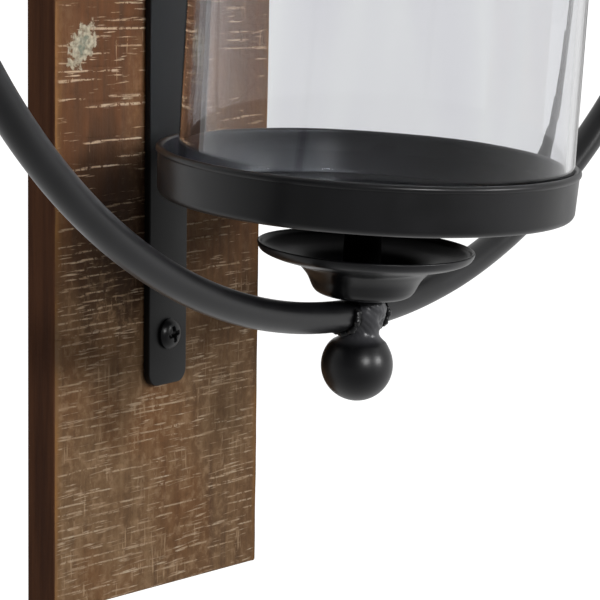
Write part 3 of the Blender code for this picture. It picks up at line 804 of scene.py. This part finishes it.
BOSS_LOW = HOOP_TOP - 0.0085
boss = [(0, BOSS_TOP), (0.0073, BOSS_TOP)] + arc((0.0073, BOSS_TOP - 0.0012), 0.0012, 80, 0, 6)
boss += arc((0.0067, BOSS_LOW + 0.0020), 0.0018, 0, -80, 8) + [(0.0058, BOSS_LOW), (0, BOSS_LOW)]
piece("boss_iron", turned("boss_iron", boss, 72, smooth_angle=50), "black_iron", "hoop_boss")
head = BOSS_TOP + GAP + STRAP_THICK + GAP + WASHER_THICK + GAP
cap = [(0, head + 0.0058)] + arc((0, head + 0.0010), 0.0048, 84, 0, 14)
cap += [(0.0048, head + 0.0003), (0.0046, head), (0.0022, head), (0.0022, head - 0.018),
        (0, head - 0.018)]             # the shank runs down into the boss
piece("bolt_cap", turned("bolt_cap", cap, 64, smooth_angle=50), "black_screw", "arm_bolt")


# ---------------------------------------------------------------- dish, tray and glass
DISH_SHIFT = (0.0003, -0.0011, 0)      # the dish is screwed on a little off centre
TRAY_RADIUS, TRAY_BEAD, TRAY_CORNER = 0.0671, 0.0012, 0.0025
GLASS_RADIUS, GLASS_WALL, GLASS_HEIGHT = 0.0623, 0.0028, 0.203
GLASS_SHIFT = (0.0013, -0.0019)        # the loose glass stands a little off centre


def dish_mesh():
    """A flared dish with a rolled lip on a small cup."""
    outer = flow([(0.0345, 0.0214), (0.0341, 0.0202), (0.0330, 0.0190), (0.0298, 0.0177),
                  (0.0250, 0.0166), (0.0216, 0.0154), (0.0196, 0.0136), (0.0180, 0.0116),
                  (0.0169, 0.0094), (0.0161, 0.0079), (0.0149, 0.0067), (0.0128, 0.0059),
                  (0.0098, 0.0056), (0.0027, 0.0056)], 5)
    section = shell(outer, SHEET)
    lip = arc((0.03402, 0.02142), 0.00048, -20, 200, 10)
    off_centre = HOOP_FRAME @ Matrix.Translation(DISH_SHIFT)
    return turned("dish_iron", lip[::-1][1:] + section[2:-2], 160, closed=True,
                  place=off_centre, smooth_angle=60)


def tray_mesh():
    """A pressed tray, very slightly out of round, with its rim rolled outward."""
    radius, bead, corner = TRAY_RADIUS, TRAY_BEAD, TRAY_CORNER
    bottom = TRAY_FLOOR - SHEET
    foot = radius - 0.0011
    profile = arc((radius - bead, TRAY_RIM - bead), bead, 165, -62, 22)
    profile += arc((foot - corner, bottom + corner), corner, -6, -90, 14)
    profile += [(0.045, bottom), (0.0200, bottom), (0.0027, bottom), (0.0027, TRAY_FLOOR),
                (0.0200, TRAY_FLOOR), (0.045, TRAY_FLOOR)]
    profile += arc((foot - corner, bottom + corner), corner - SHEET, -90, -6, 14)
    profile += [(foot - SHEET + 0.0001, TRAY_RIM - 5 * bead),
                (foot - SHEET + 0.0002, TRAY_RIM - 2.4 * bead)]

    def pressed(turn, h, i):
        return 0.00010 * math.sin(2 * turn + 0.6) + 0.00005 * math.sin(7 * turn + 300 * h) - 0.00015

    return turned("tray_iron", profile, 224, closed=True, wobble=pressed, smooth_angle=45)


def glass_mesh():
    """Drawn cylinder: fire-polished lips and a wall that is very slightly uneven."""
    radius, wall, height, half = GLASS_RADIUS, GLASS_WALL, GLASS_HEIGHT, GLASS_WALL / 2
    shift = Matrix.Translation((*GLASS_SHIFT, TRAY_FLOOR + GAP))
    outer = [(radius, height - half - (height - 2 * half) * k / 24) for k in range(1, 24)]
    inner = [(radius - wall, half + (height - 2 * half) * k / 24) for k in range(1, 24)]
    lip = arc((radius - half, height - half), half, 180, 0, 12)
    foot = arc((radius - half, half), half, 0, -180, 12)

    def drawn(turn, h, i):
        wave = math.sin(5 * turn + 9 * h) + 0.6 * math.sin(13 * turn - 14 * h + 1.3)
        inside = len(lip) + len(outer) + len(foot) <= i
        return (0.00003 * wave - 0.00010) if not inside else 0.00003 * math.sin(9 * turn + 20 * h)

    return turned("glass_blown", lip + outer + foot + inner, 192, closed=True,
                  place=HOOP_FRAME @ shift, wobble=drawn)


piece("dish_iron", dish_mesh(), "black_iron", "drip_dish")
piece("tray_iron", tray_mesh(), "black_iron", "candle_tray")
piece("glass_blown", glass_mesh(), "clear_glass", "glass_chimney", body="chimney")


# ---------------------------------------------------------------- CAD nodes that stay
# the tray's stem gets the near-black iron with painted shade
for name, look, width in (("tray_stem", SHADED_STEM_IRON, 0.0003), ("tray_washer", BLACKENED, 0.0003),
                          ("arm_washer", BLACKENED, 0.0002), ("hanger_plate_upper", ZINC, 0.0002),
                          ("hanger_plate_lower", ZINC, 0.0002)):
    node = frame["nodes"][name]
    for index in range(len(node.material_slots)):
        node.material_slots[index].material = look
    rounding = node.modifiers.new("Edges", 'BEVEL')
    rounding.width = width
    rounding.segments = 3
    rounding.limit_method = 'ANGLE'
    rounding.angle_limit = math.radians(40)


# ---------------------------------------------------------------- room, light and camera
def surroundings(tree, direction):
    """Brightness seen in a direction: bright all round, dim on the photographer's side.

    The camera sees plain white, and pale grey straight through the glass. Diffuse and mirrored
    light from the surroundings is weaker, so that the lamps shape the object."""
    def math_node(operation, *values):
        node = tree.nodes.new("ShaderNodeMath")
        node.operation = operation
        for socket, value in zip(node.inputs, values):
            if isinstance(value, bpy.types.NodeSocket):
                tree.links.new(value, socket)
            else:
                socket.default_value = value
        return node.outputs[0]

    dot = tree.nodes.new("ShaderNodeVectorMath")
    dot.operation = 'DOT_PRODUCT'
    dot.inputs[1].default_value = DIM_SIDE
    tree.links.new(direction, dot.inputs[0])
    ramp = tree.nodes.new("ShaderNodeMapRange")
    ramp.interpolation_type = 'SMOOTHSTEP'
    for name, value in DIMMING.items():
        ramp.inputs[name].default_value = value
    tree.links.new(dot.outputs["Value"], ramp.inputs["Value"])
    path = tree.nodes.new("ShaderNodeLightPath")
    share = math_node('MULTIPLY_ADD', path.outputs["Is Diffuse Ray"], AMBIENT - 1, 1.0)
    share = math_node('MULTIPLY_ADD', path.outputs["Is Glossy Ray"], GLOSS - 1, share)
    dimmed = math_node('MULTIPLY', ramp.outputs["Result"], share)
    bounces = math_node('ADD', path.outputs["Glossy Depth"], path.outputs["Diffuse Depth"])
    straight = math_node('SUBTRACT', path.outputs["Is Transmission Ray"], bounces)
    through = math_node('MULTIPLY', straight, THROUGH)
    seen = math_node('MAXIMUM', dimmed, through)
    return math_node('MAXIMUM', seen, path.outputs["Is Camera Ray"])


def floor():
    """A wide pale floor that fades into the surroundings."""
    mesh = bpy.data.meshes.new("floor")
    corners = ((-1, -1), (1, -1), (1, 1), (-1, 1))
    mesh.from_pydata([(x * FLOOR_HALF, y * FLOOR_HALF, FLOOR_HEIGHT) for x, y in corners],
                     [], [(0, 1, 2, 3)])
    n = Nodes("pale_floor")
    away = n.tree.nodes.new("ShaderNodeVectorMath")
    away.operation = 'NORMALIZE'
    n.put(away.inputs[0], n.place)
    n.set(Base_Color=(0.3, 0.3, 0.3, 1.0), Roughness=0.9, Emission_Color=(1, 1, 1, 1),
          Emission_Strength=surroundings(n.tree, away.outputs[0]))
    mesh.materials.append(n.material)
    obj = bpy.data.objects.new("floor", mesh)
    bpy.context.scene.collection.objects.link(obj)


def studio():
    world = bpy.data.worlds.new("studio")
    bpy.context.scene.world = world
    world.use_nodes = True
    tree = world.node_tree
    place = tree.nodes.new("ShaderNodeTexCoord").outputs["Generated"]
    tree.links.new(surroundings(tree, place), tree.nodes["Background"].inputs["Strength"])
    tree.nodes["Background"].inputs["Color"].default_value = (1, 1, 1, 1)


def lamp(name, place, target, power, spread):
    data = bpy.data.lights.new(name, 'SUN')
    data.energy = power
    data.angle = spread
    obj = bpy.data.objects.new(name, data)
    obj.location = place
    aim = Vector(target) - Vector(place)
    obj.rotation_euler = aim.to_track_quat('-Z', 'Y').to_euler()
    bpy.context.scene.collection.objects.link(obj)


def camera(azimuth, elevation, roll, place, lens):
    """A camera whose view runs down from azimuth and elevation, rolled about its own axis."""
    a, e, r = (math.radians(v) for v in (azimuth, elevation, roll))
    back = Vector((math.sin(a) * math.cos(e), -math.cos(a) * math.cos(e), math.sin(e)))
    right = Vector((math.cos(a), math.sin(a), 0))
    up = back.cross(right)
    right, up = right * math.cos(r) + up * math.sin(r), up * math.cos(r) - right * math.sin(r)
    data = bpy.data.cameras.new("camera")
    data.lens = lens
    data.sensor_width = 36
    data.clip_start, data.clip_end = 0.05, 200
    obj = bpy.data.objects.new("camera", data)
    columns = Matrix((right, up, back)).transposed().to_4x4()
    obj.matrix_world = Matrix.Translation(place) @ columns
    bpy.context.scene.collection.objects.link(obj)
    bpy.context.scene.camera = obj


FLOOR_HALF, FLOOR_HEIGHT = 60, -1.0
DIM_SIDE = (-0.80, -0.60, 0.0)
DIMMING = {"From Min": 0.90, "From Max": -0.50, "To Min": 0.10, "To Max": 1.0}
AMBIENT, GLOSS = 0.22, 0.65            # share of it in diffuse and in mirrored light
THROUGH = 0.71                         # least brightness seen straight through the glass
LAMP_POWER, LAMP_SPREAD = 1.15, math.radians(11)
floor()
studio()
CENTRE = HOOP_FRAME @ Vector((0, 0, 0.04))
lamp("left_box", CENTRE + Vector((-0.40, -0.87, 0.33)), CENTRE, LAMP_POWER, LAMP_SPREAD)
lamp("right_box", CENTRE + Vector((0.31, -0.93, 0.25)), CENTRE, LAMP_POWER, LAMP_SPREAD)
camera(azimuth=-54.77, elevation=8.487, roll=0.8223, place=(-0.68988, -0.55528, -0.10001),
       lens=159.18)
bpy.context.scene.view_settings.view_transform = 'Standard'
